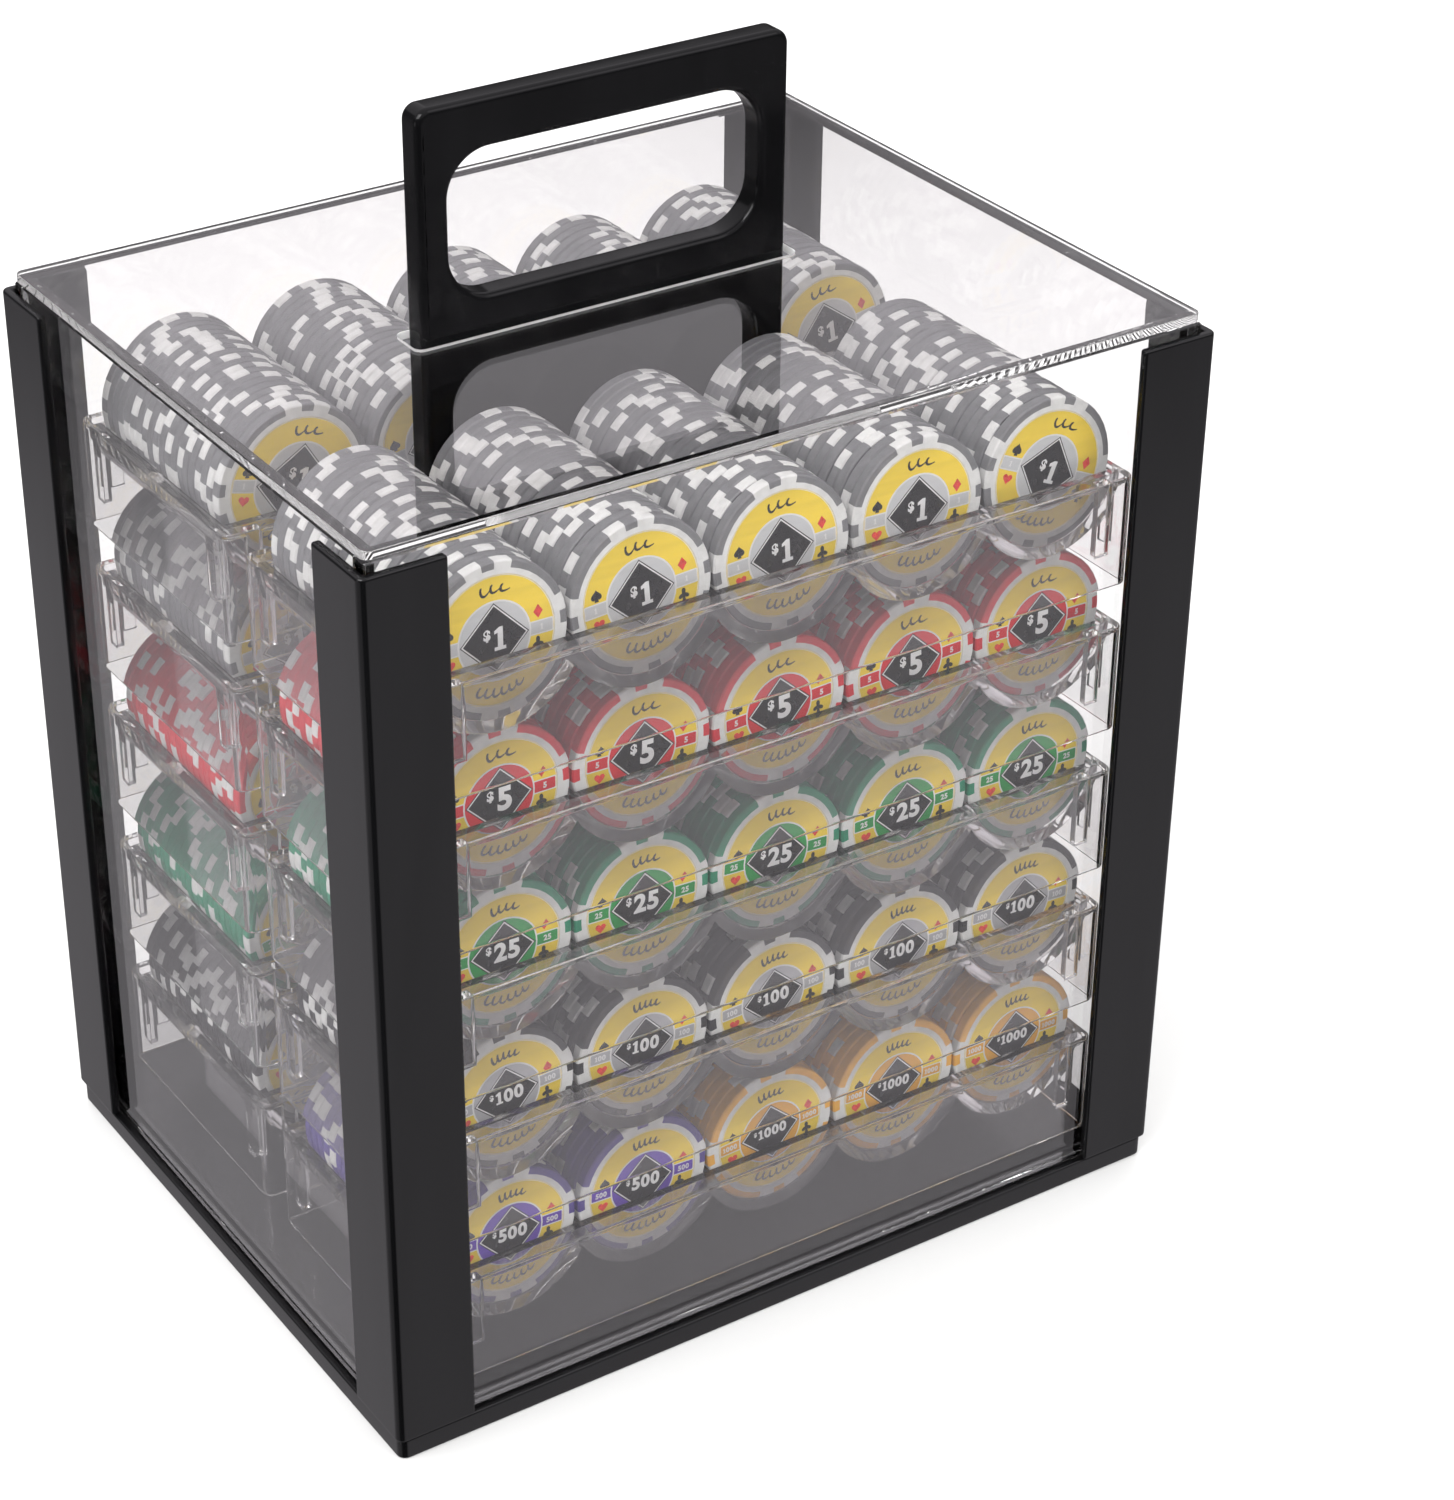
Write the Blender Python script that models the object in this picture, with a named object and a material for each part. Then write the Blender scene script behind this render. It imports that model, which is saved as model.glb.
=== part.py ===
# Poker chip case: black base, clear walls and lid, black corner posts, a full-height handle board,
# ten clear moulded racks (five layers, front and rear) and fifty stacks of twenty chips.
# Units are metres. Origin: centre of the base's underside. X width, Y depth (front at -Y), Z up.
import bpy
import bmesh
import math
import mathutils

MM = 0.001

# ---- driving sizes, millimetres --------------------------------------------------------------
GAP = 0.3                     # clearance left between touching pieces
PAST = 1.0                    # how far a cutter runs past the face it opens

# walls and lid share one outer outline
CASE_HX = 118.5               # half width of the walls' outer faces
CASE_HY = 91.5                # half depth of the walls' outer faces
WALL_T = 4.4
WALL_TOP = 255.8
WALL_CHAMFER = 0.4
LID_TOP = 258.5
LID_T = 2.4
LID_R = 2.5
LID_CHAMFER = 0.3
SLOT_HX = 56.0                # half length of the lid's slot
SLOT_HY = 6.0
SLOT_R = 2.2

# base: an outer ledge that the walls stand on and a raised floor inside them
BASE_HX = 120.5
BASE_HY = 93.5
BASE_R = 2.5
BASE_CHAMFER = 0.8            # round the underside
LEDGE_Z = 6.1
LEDGE_CHAMFER = 0.6
FLOOR_Z = 13.6
FLOOR_HX = CASE_HX - WALL_T - GAP
FLOOR_HY = CASE_HY - WALL_T - GAP
FLOOR_R = 1.0

# corner posts, L section
POST_HX = 121.4               # half width over the posts' outer faces
POST_HY = 94.4
POST_LEG = 22.6
POST_T = POST_HX - CASE_HX - GAP
POST_TOP = 253.7
POST_R = 2.2
POST_CHAMFER = 0.8

# handle board
BOARD_HX = 53.4
BOARD_T = 8.2
BOARD_TOP = 318.0
BOARD_R = 4.0
BOARD_BEVEL = 1.8
GRIP_HX = 45.0
GRIP_Z0 = 267.4
GRIP_Z1 = 305.2
GRIP_R = 12.0
SCREW_X = (-38.0, 0.0, 38.0)
SCREW_HEAD_R = 3.2
SCREW_HEAD_H = 1.8
SCREW_HEAD_CHAMFER = 0.3
SCREW_SHANK_R = 1.4
SCREW_TIP_R = 0.7
SCREW_TIP_L = 1.0
SCREW_LEN = 22.0
SCREW_HOLE_R = 1.75
SCREW_RECESS = 2.4
SCREW_RECESS_R = 3.8

# chips
CHIP_R = 19.7
CHIP_PITCH = 40.1
STACK_LEN = 66.0              # twenty chips of 3.3
STACK_SIDES = 20
STACK_PLAY = 0.5              # between a stack and the end of its cradle
NECK_DEG = 7.0                # half angle of the neck that joins neighbouring rear stacks
COLUMNS = 5

# racks
RACK_HX = 103.2
RACK_Y0 = 4.9                 # end of a rack next to the board
RACK_Y1 = 86.8                # end of a rack next to the wall
RACK_H = 30.3
RACK_R = 3.0
RACK_SKIN = 2.2
CRADLE_R = 20.05              # to the middle of each facet
SHELL_R = 23.0
CRADLE_END = 6.7              # from a rack's end face to its cradles
AXIS_UP = 4.4                 # cradle axis above the rack's lip
LAYER_PITCH = 43.1
LAYERS = 5
FIRST_LIP = FLOOR_Z + GAP + RACK_H
RIB_W = 3.8
RIB_D = 2.4
RIB_IN = 9.0                  # a rib's middle from the corner's other face
RIB_UP = 9.5                  # rib's foot above the rack's lower edge
BURY = 0.5 * RACK_SKIN        # how far an added rib or shell runs into the skin it joins
SHELL_INSET = 0.6             # cradle shells stop this far inside the rack's side faces
CRADLE_PAST = 0.6             # a cradle's cut runs this far above the lip

RACK_YC = 0.5 * (RACK_Y0 + RACK_Y1)
RACK_HY = 0.5 * (RACK_Y1 - RACK_Y0)
CRADLE_HY = RACK_HY - CRADLE_END

# colour of each layer's chips, bottom to top
FRONT_CHIPS = ("purple", "black", "green", "red", "grey")
REAR_CHIPS = ("black", "green", "red", "grey", "grey")
YELLOW_FROM = 2               # the bottom front layer is yellow from this column on
CHIP_COLOURS = {
    "purple": (0.16, 0.10, 0.33, 1.0),
    "yellow": (0.80, 0.50, 0.08, 1.0),
    "black": (0.03, 0.03, 0.035, 1.0),
    "green": (0.03, 0.30, 0.19, 1.0),
    "red": (0.62, 0.05, 0.06, 1.0),
    "grey": (0.32, 0.32, 0.34, 1.0),
}


# ---- helpers ---------------------------------------------------------------------------------
def clear_scene():
    for obj in list(bpy.data.objects):
        bpy.data.objects.remove(obj, do_unlink=True)


def material(name, colour, rough, metal=0.0):
    mat = bpy.data.materials.new(name)
    mat.use_nodes = True
    shader = mat.node_tree.nodes["Principled BSDF"]
    shader.inputs["Base Color"].default_value = colour
    shader.inputs["Roughness"].default_value = rough
    shader.inputs["Metallic"].default_value = metal
    if colour[3] < 1.0:
        shader.inputs["Alpha"].default_value = colour[3]
    mat.diffuse_color = colour
    return mat


def new_object(name, bm, mat=None):
    bmesh.ops.recalc_face_normals(bm, faces=bm.faces[:])
    mesh = bpy.data.meshes.new(name)
    bm.to_mesh(mesh)
    bm.free()
    obj = bpy.data.objects.new(name, mesh)
    bpy.context.scene.collection.objects.link(obj)
    if mat is not None:
        mesh.materials.append(mat)
    return obj


def round_rect(hx, hy, r, seg, cx=0.0, cy=0.0):
    """Closed outline of a rounded rectangle, counter-clockwise."""
    pts = []
    corners = ((hx - r, hy - r, 0), (-hx + r, hy - r, 90), (-hx + r, -hy + r, 180), (hx - r, -hy + r, 270))
    for x, y, start in corners:
        for k in range(seg + 1):
            a = math.radians(start + 90.0 * k / seg)
            pts.append((cx + x + r * math.cos(a), cy + y + r * math.sin(a)))
    return pts


def circle(cx, cy, r, sides):
    """Closed outline of a regular polygon with its corners on the circle."""
    turn = 2.0 * math.pi / sides
    return [(cx + r * math.cos(k * turn), cy + r * math.sin(k * turn)) for k in range(sides)]


def at_height(outline, z):
    return [(x, y, z) for x, y in outline]


def loft(loops):
    """Closed solid through equal-length loops of 3-D points, capped at both ends."""
    bm = bmesh.new()
    rings = [[bm.verts.new((x * MM, y * MM, z * MM)) for x, y, z in loop] for loop in loops]
    count = len(rings[0])
    for low, high in zip(rings, rings[1:]):
        for i in range(count):
            j = (i + 1) % count
            bm.faces.new((low[i], low[j], high[j], high[i]))
    bm.faces.new(list(reversed(rings[0])))
    bm.faces.new(rings[-1])
    return bm


def prism_z(outline, z0, z1):
    return loft([at_height(outline, z0), at_height(outline, z1)])


def prism_y(outline, y0, y1):
    """Outline given in X and Z, extruded along Y."""
    return loft([[(x, y, z) for x, z in outline] for y in (y0, y1)])


def box(x0, x1, y0, y1, z0, z1):
    return prism_z([(x0, y0), (x1, y0), (x1, y1), (x0, y1)], z0, z1)


def apply_modifiers(obj):
    graph = bpy.context.evaluated_depsgraph_get()
    mesh = bpy.data.meshes.new_from_object(obj.evaluated_get(graph))
    obj.modifiers.clear()
    old = obj.data
    obj.data = mesh
    bpy.data.meshes.remove(old)


def combine(obj, other, operation):
    """Boolean of two solids; the second one is used up."""
    mod = obj.modifiers.new("boolean", "BOOLEAN")
    mod.operation = operation
    mod.solver = "EXACT"
    mod.object = other
    apply_modifiers(obj)
    bpy.data.objects.remove(other, do_unlink=True)


def cut(obj, bm):
    combine(obj, new_object("cutter", bm), "DIFFERENCE")


def add(obj, bm):
    combine(obj, new_object("addition", bm), "UNION")


def bevel(obj, width, segments=1, angle=50.0):
    mod = obj.modifiers.new("bevel", "BEVEL")
    mod.width = width * MM
    mod.segments = segments
    mod.limit_method = "ANGLE"
    mod.angle_limit = math.radians(angle)
    apply_modifiers(obj)


def tidy(obj):
    """Join split vertices and flatten needless edges left by the booleans."""
    bm = bmesh.new()
    bm.from_mesh(obj.data)
    bmesh.ops.remove_doubles(bm, verts=bm.verts[:], dist=1e-6)
    bmesh.ops.dissolve_limit(bm, angle_limit=math.radians(0.5), verts=bm.verts[:], edges=bm.edges[:])
    bmesh.ops.recalc_face_normals(bm, faces=bm.faces[:])
    bm.to_mesh(obj.data)
    bm.free()


def set_origin(obj, x, y, z):
    """Move an object's origin, leaving its surface where it is."""
    obj.data.transform(mathutils.Matrix.Translation((-x * MM, -y * MM, -z * MM)))
    obj.location = (x * MM, y * MM, z * MM)


def attach(child, parent):
    """Parent one placed object to another without moving it."""
    child.parent = parent
    child.location = child.location - parent.location


# ---- case ------------------------------------------------------------------------------------
def base_outline(inset):
    """The base's outer outline, drawn in by an even inset."""
    return round_rect(BASE_HX - inset, BASE_HY - inset, BASE_R - inset, 4)


def make_base(mat):
    inner = round_rect(FLOOR_HX, FLOOR_HY, FLOOR_R, 4)
    bm = loft([
        at_height(base_outline(BASE_CHAMFER), 0.0),
        at_height(base_outline(0.0), BASE_CHAMFER),
        at_height(base_outline(0.0), LEDGE_Z - LEDGE_CHAMFER),
        at_height(base_outline(LEDGE_CHAMFER), LEDGE_Z),
        at_height(inner, LEDGE_Z),
        at_height(inner, FLOOR_Z),
    ])
    obj = new_object("base_plate", bm, mat)
    for x in SCREW_X:
        cut(obj, prism_z(circle(x, 0.0, SCREW_HOLE_R, 12), -PAST, FLOOR_Z + PAST))
        cut(obj, prism_z(circle(x, 0.0, SCREW_RECESS_R, 16), -PAST, SCREW_RECESS))
    tidy(obj)


def make_walls(mat):
    z0 = LEDGE_Z + GAP
    inner = CASE_HY - WALL_T
    spans = {
        "wall_front": (-CASE_HX, CASE_HX, -CASE_HY, -inner),
        "wall_back": (-CASE_HX, CASE_HX, inner, CASE_HY),
        "wall_left": (-CASE_HX, -CASE_HX + WALL_T, -inner + GAP, inner - GAP),
        "wall_right": (CASE_HX - WALL_T, CASE_HX, -inner + GAP, inner - GAP),
    }
    for name, (x0, x1, y0, y1) in spans.items():
        obj = new_object(name, box(x0, x1, y0, y1, z0, WALL_TOP), mat)
        bevel(obj, WALL_CHAMFER)


def post_outline():
    """L section of the post at +X +Y, with a rounded outer corner."""
    corner = []
    for k in range(4):
        a = math.radians(90.0 * k / 3)
        corner.append((POST_HX - POST_R + POST_R * math.cos(a), POST_HY - POST_R + POST_R * math.sin(a)))
    outline = [(POST_HX - POST_T, POST_HY - POST_LEG), (POST_HX, POST_HY - POST_LEG)] + corner
    outline += [(POST_HX - POST_LEG, POST_HY), (POST_HX - POST_LEG, POST_HY - POST_T)]
    outline += [(POST_HX - POST_T, POST_HY - POST_T)]
    return outline


def make_posts(mat):
    z0 = LEDGE_Z + GAP
    for end, sy in (("front", -1), ("back", 1)):
        for hand, sx in (("left", -1), ("right", 1)):
            outline = [(sx * x, sy * y) for x, y in post_outline()]
            obj = new_object("post_%s_%s" % (end, hand), prism_z(outline, z0, POST_TOP), mat)
            bevel(obj, POST_CHAMFER)


def make_lid(mat):
    z0 = LID_TOP - LID_T
    obj = new_object("lid", prism_z(round_rect(CASE_HX, CASE_HY, LID_R, 5), z0, LID_TOP), mat)
    cut(obj, prism_z(round_rect(SLOT_HX, SLOT_HY, SLOT_R, 4), z0 - PAST, LID_TOP + PAST))
    bevel(obj, LID_CHAMFER)
    tidy(obj)
    set_origin(obj, 0.0, 0.0, z0)


def make_board(mat):
    z0 = FLOOR_Z + GAP
    zc = 0.5 * (z0 + BOARD_TOP)
    hz = 0.5 * (BOARD_TOP - z0)
    outline = [(x, z + zc) for x, z in round_rect(BOARD_HX, hz, BOARD_R, 4) if z > 0.0]
    outline += [(-BOARD_HX, z0), (BOARD_HX, z0)]
    obj = new_object("handle_board", prism_y(outline, -0.5 * BOARD_T, 0.5 * BOARD_T), mat)
    gz = 0.5 * (GRIP_Z0 + GRIP_Z1)
    grip = [(x, z + gz) for x, z in round_rect(GRIP_HX, 0.5 * (GRIP_Z1 - GRIP_Z0), GRIP_R, 6)]
    cut(obj, prism_y(grip, -BOARD_T, BOARD_T))
    bevel(obj, BOARD_BEVEL, 2)
    for x in SCREW_X:
        cut(obj, prism_z(circle(x, 0.0, SCREW_HOLE_R, 12), z0 - PAST, SCREW_RECESS + SCREW_LEN))
    tidy(obj)


def make_screws(mat):
    seat = SCREW_RECESS - GAP
    profile = (
        (SCREW_HEAD_R - SCREW_HEAD_CHAMFER, seat - SCREW_HEAD_H),
        (SCREW_HEAD_R, seat - SCREW_HEAD_H + SCREW_HEAD_CHAMFER),
        (SCREW_HEAD_R, seat),
        (SCREW_SHANK_R, seat),
        (SCREW_SHANK_R, SCREW_LEN - SCREW_TIP_L),
        (SCREW_TIP_R, SCREW_LEN),
    )
    for i, x in enumerate(SCREW_X):
        loops = [at_height(circle(x, 0.0, r, 12), z) for r, z in profile]
        new_object("handle_screw_%d" % (i + 1), loft(loops), mat)


# ---- racks and chips -------------------------------------------------------------------------
def column_x(i):
    return (i - 0.5 * (COLUMNS - 1)) * CHIP_PITCH


def shell_outline(lip):
    """Lower envelope of the five cradle shells, closed along a line inside the rack's top skin."""
    half = RACK_HX - SHELL_INSET
    pts = []
    seg = 6
    for i in range(COLUMNS):
        xc = column_x(i)
        left = -half - xc if i == 0 else -0.5 * CHIP_PITCH
        right = half - xc if i == COLUMNS - 1 else 0.5 * CHIP_PITCH
        a0 = math.asin(left / SHELL_R)
        a1 = math.asin(right / SHELL_R)
        for k in range(seg + 1):
            if i > 0 and k == 0:
                continue
            a = a0 + (a1 - a0) * k / seg
            pts.append((xc + SHELL_R * math.sin(a), lip + AXIS_UP - SHELL_R * math.cos(a)))
    pts.append((half, lip - BURY))
    pts.append((-half, lip - BURY))
    return pts


def cradle_outline(xc, lip):
    """One cradle's cut: circle arc below the lip, carried up past it."""
    half = math.acos((AXIS_UP - CRADLE_PAST) / CRADLE_R)
    seg = 10
    r = CRADLE_R / math.cos(half / seg)
    pts = []
    for k in range(seg + 1):
        a = -half + 2.0 * half * k / seg
        pts.append((xc + r * math.sin(a), lip + AXIS_UP - r * math.cos(a)))
    return pts


def add_corner_ribs(obj, sx, sy, yc, z0, z1):
    """Two upright ribs inside one corner: one on the side skin and one on the end skin."""
    x = sx * (RACK_HX - RIB_IN)
    y = yc + sy * (RACK_HY - RIB_IN)
    side = sorted((sx * (RACK_HX - BURY), sx * (RACK_HX - RACK_SKIN - RIB_D)))
    end = sorted((yc + sy * (RACK_HY - BURY), yc + sy * (RACK_HY - RACK_SKIN - RIB_D)))
    add(obj, box(side[0], side[1], y - 0.5 * RIB_W, y + 0.5 * RIB_W, z0, z1))
    add(obj, box(x - 0.5 * RIB_W, x + 0.5 * RIB_W, end[0], end[1], z0, z1))


def make_rack(name, lip, side, mat):
    yc = side * RACK_YC
    z0 = lip - RACK_H
    obj = new_object(name, prism_z(round_rect(RACK_HX, RACK_HY, RACK_R, 3, 0.0, yc), z0, lip), mat)
    hollow = round_rect(RACK_HX - RACK_SKIN, RACK_HY - RACK_SKIN, RACK_R - RACK_SKIN, 3, 0.0, yc)
    cut(obj, prism_z(hollow, z0 - PAST, lip - RACK_SKIN))
    add(obj, prism_y(shell_outline(lip), yc - CRADLE_HY - RACK_SKIN, yc + CRADLE_HY + RACK_SKIN))
    for sx in (-1, 1):
        for sy in (-1, 1):
            add_corner_ribs(obj, sx, sy, yc, z0 + RIB_UP, lip - BURY)
    for i in range(COLUMNS):
        cut(obj, prism_y(cradle_outline(column_x(i), lip), yc - CRADLE_HY, yc + CRADLE_HY))
    tidy(obj)
    set_origin(obj, 0.0, yc, z0)
    return obj


def stack_y(side):
    """Both rows sit against the case's front or back end of their cradles."""
    far = side * (RACK_Y1 - CRADLE_END - STACK_PLAY)
    near = far - side * STACK_LEN
    return min(far, near), max(far, near)


def make_stack(name, xc, zc, side, mat):
    y0, y1 = stack_y(side)
    obj = new_object(name, prism_y(circle(xc, zc, CHIP_R, STACK_SIDES), y0, y1), mat)
    set_origin(obj, xc, 0.5 * (y0 + y1), zc)
    return obj


def make_block(name, zc, side, mat):
    """Five stacks side by side, joined by a thin neck where neighbours touch."""
    y0, y1 = stack_y(side)
    neck = math.radians(NECK_DEG)
    seg = 9
    upper = []
    lower = []
    for i in range(COLUMNS):
        xc = column_x(i)
        a0 = math.pi - (neck if i else 0.0)
        a1 = neck if i < COLUMNS - 1 else 0.0
        for k in range(seg + 1):
            a = a0 + (a1 - a0) * k / seg
            upper.append((xc + CHIP_R * math.cos(a), zc + CHIP_R * math.sin(a)))
    for x, z in upper[1:-1]:
        lower.append((x, 2.0 * zc - z))
    obj = new_object(name, prism_y(upper + lower[::-1], y0, y1), mat)
    set_origin(obj, 0.0, 0.5 * (y0 + y1), zc)
    return obj


def main():
    clear_scene()
    black = material("black_plastic", (0.012, 0.012, 0.013, 1.0), 0.18)
    clear = material("clear_acrylic", (0.93, 0.95, 0.95, 0.25), 0.03)
    rack_clear = material("clear_styrene", (0.92, 0.93, 0.94, 0.35), 0.05)
    steel = material("screw_steel", (0.45, 0.45, 0.46, 1.0), 0.3, 1.0)
    chips = {key: material("chips_" + key, colour, 0.5) for key, colour in CHIP_COLOURS.items()}

    make_base(black)
    make_walls(clear)
    make_posts(black)
    make_lid(clear)
    make_board(black)
    make_screws(steel)

    for layer in range(LAYERS):
        lip = FIRST_LIP + layer * LAYER_PITCH
        zc = lip + AXIS_UP
        front = make_rack("rack_front_%d" % (layer + 1), lip, -1, rack_clear)
        rear = make_rack("rack_rear_%d" % (layer + 1), lip, 1, rack_clear)
        for i in range(COLUMNS):
            colour = "yellow" if layer == 0 and i >= YELLOW_FROM else FRONT_CHIPS[layer]
            name = "chips_front_%d_%d" % (layer + 1, i + 1)
            attach(make_stack(name, column_x(i), zc, -1, chips[colour]), front)
        attach(make_block("chips_rear_%d" % (layer + 1), zc, 1, chips[REAR_CHIPS[layer]]), rear)

    for obj in bpy.data.objects:
        obj.data.shade_smooth()
        obj.data.set_sharp_from_angle(angle=math.radians(30.0))


main()
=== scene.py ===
import math
import random

import bmesh
import bpy
import numpy as np
from mathutils import Matrix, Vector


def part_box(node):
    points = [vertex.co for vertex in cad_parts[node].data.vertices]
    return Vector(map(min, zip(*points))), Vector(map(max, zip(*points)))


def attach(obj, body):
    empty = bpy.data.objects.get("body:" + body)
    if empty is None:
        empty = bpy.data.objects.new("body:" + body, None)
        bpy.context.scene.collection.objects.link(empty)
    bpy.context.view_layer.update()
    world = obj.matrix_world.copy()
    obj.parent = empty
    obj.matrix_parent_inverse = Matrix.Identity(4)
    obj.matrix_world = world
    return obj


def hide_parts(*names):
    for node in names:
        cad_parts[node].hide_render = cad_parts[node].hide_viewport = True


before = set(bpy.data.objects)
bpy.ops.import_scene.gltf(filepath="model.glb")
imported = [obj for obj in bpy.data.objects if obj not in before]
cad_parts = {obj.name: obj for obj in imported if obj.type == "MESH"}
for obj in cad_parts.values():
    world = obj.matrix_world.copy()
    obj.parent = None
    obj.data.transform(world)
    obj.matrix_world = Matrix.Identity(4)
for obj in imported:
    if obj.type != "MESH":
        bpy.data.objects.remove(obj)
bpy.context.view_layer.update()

# Looks for the poker chip case: a black frame with clear walls and lid, ten clear racks and a thousand chips.
# Sizes are in millimetres and are turned into metres by MM.
MM = 0.001
FRAME_TO_MM = 1.0 / MM
GAP = 0.3                     # clearance between the walls and the posts and floor beside them

# ---- camera and light ------------------------------------------------------------------------
CAMERA_AT = (-0.4499, -0.7219, 0.6297)
CAMERA_YAW = 32.5             # degrees to the right of straight at the front
CAMERA_PITCH = -31.63
CAMERA_ROLL = -0.13
CAMERA_LENS = 88.02
CAMERA_SHIFT = (0.061, 0.0403)

SKY_TOP = 2.85                # brightness of the white room overhead
SKY_SIDE = 1.95               # and at the horizon
SKY_TINT = (1.0, 0.995, 0.99, 1.0)
FLOOR_COLOUR = (0.53, 0.53, 0.53)
KEY_AT = (-1.5, -0.4, 1.7)
KEY_AIM = (0.0, 0.0, 0.12)
KEY_SIZE = (1.6, 1.2)
KEY_POWER = 34.0

# the darker room that the object mirrors: (sine of the elevation, brightness)
MIRRORED_TINT = (1.0, 0.96, 1.01, 1.0)
MIRRORED_LEAST = 0.02
MIRRORED = (
    (-1.0, 0.44), (-0.46, 0.44), (-0.37, 0.10), (0.33, 0.08), (0.40, 0.70), (0.65, 0.82), (1.0, 1.1),
)
MOST_MIRRORED = 3             # reflections in a row that still count as a mirror image
LED_ALONG = 0.10              # the share of that room's light that sheets lead along inside them
# brighter and darker patches in it: azimuth, elevation and radius in degrees, brightness added
SOFT_BOXES = (
    (122.5, -32.0, 40.0, 0.08),
    (-122.5, -32.0, 34.0, -0.48),
    (-57.5, -32.0, 34.0, 0.25),
    (-49.0, 46.0, 16.0, 1.3),
    (-150.0, 50.0, 14.0, 4.0),
    (175.0, -5.0, 16.0, 1.2),
)

# ---- chips -----------------------------------------------------------------------------------
CHIP_R = 19.7
CHIP_T = 3.2
CHIPS = 20
EDGE_ROUND = 0.38
INSERT_R = 0.90 * CHIP_R      # the moulded inserts start here and wrap over the rim
LONG_INSERT = 51.4            # degrees
SHORT_INSERT = 10.4
SHORT_INSERT_AT = 3.7
LABEL_R = 0.82 * CHIP_R
LABEL_SEAT = 0.15             # depth of the label's recess
CHIP_LEAN = 0.12              # degrees that a chip may lean or turn off its stack's line
CHIP_SHIFT = (0.12, 0.10)     # and how far it may lie to the side and low
TOP_LEAN = (1.5, 2.6)         # degrees, for the stacks of the top front rack
FRONT_LEAN = (0.2, 1.0)
REAR_LEAN = (0.2, 1.4)
FRONT_SPIN = (-3.5, 3.5)      # degrees that a front label is turned
REAR_SPIN = (-40.0, 40.0)
ODD_SPIN = -24.0              # the last label of the top front rack

# ---- print on the labels, in parts of the chip's radius --------------------------------------
BANDS = ((0.80, 0.092), (0.79, 0.075))    # half length and width: silver edge, colour
DISCS = (0.50, 0.478)                     # silver edge, colour
DIAMONDS = (0.47, 0.452, 0.428)           # black edge, silver line, black
NUMBER_HEIGHT = {1: 0.30, 2: 0.25, 3: 0.185, 4: 0.15}    # for that many digits
SMALL_NUMBER = (0.075, 0.645)             # height and distance from the middle
PEN_R = 0.65                              # radius of the arc the pen waves follow
PEN_SWING = 0.048
PEN_HALF = (0.012, 0.006)                 # half width of a stroke and how much it changes
SUIT = 0.155
PRINT_STEP = 0.018                        # millimetres, each layer of print above the last

# ---- racks: the CAD racks' outer shape, in a thinner skin ------------------------------------
RACK_R = 3.0
RACK_SKIN = 1.5
CRADLE_R = 20.05
SHELL_R = 23.0
CRADLE_END = 6.7
AXIS_UP = 4.4
RIB_W = 3.8
RIB_D = 2.4
RIB_IN = 9.0
RIB_UP = 9.5
BURY = 0.5 * RACK_SKIN
SHELL_INSET = 0.6
CRADLE_PAST = 0.6

COLUMNS = 5
LAYERS = 5
FRONT_CHIPS = ("purple", "black", "green", "red", "grey")
REAR_CHIPS = ("black", "green", "red", "grey", "grey")
YELLOW_FROM = 2
VALUES = {"purple": "500", "yellow": "1000", "black": "100", "green": "25", "red": "5", "grey": "1"}

# ---- case ------------------------------------------------------------------------------------
BOARD_R = 4.0
BOARD_BEVEL = 1.8
GRIP_HX = 45.0
GRIP_Z = (267.4, 305.2)
GRIP_R = 12.0
POST_R = 2.2
POST_BEVEL = 0.8
LID_R = 2.5
LID_BEVEL = 0.3
SLOT = (56.0, 6.0, 2.2)       # half length, half width, corner radius
BASE_R = 2.5
BASE_BEVEL = 0.6
LEDGE_Z = 6.1
FLOOR_R = 1.0                 # corners of the raised floor
WALL_T = 4.4
SCREW_X = (-38.0, 0.0, 38.0)
SCREW_RECESS = 2.4
SCREW_RECESS_R = 3.8
SCREW_HOLE_R = 1.75
SCREW_HOLE_L = 10.0           # depth in the board
SHARP = 50.0                  # degrees between faces that make a sharp edge


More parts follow.
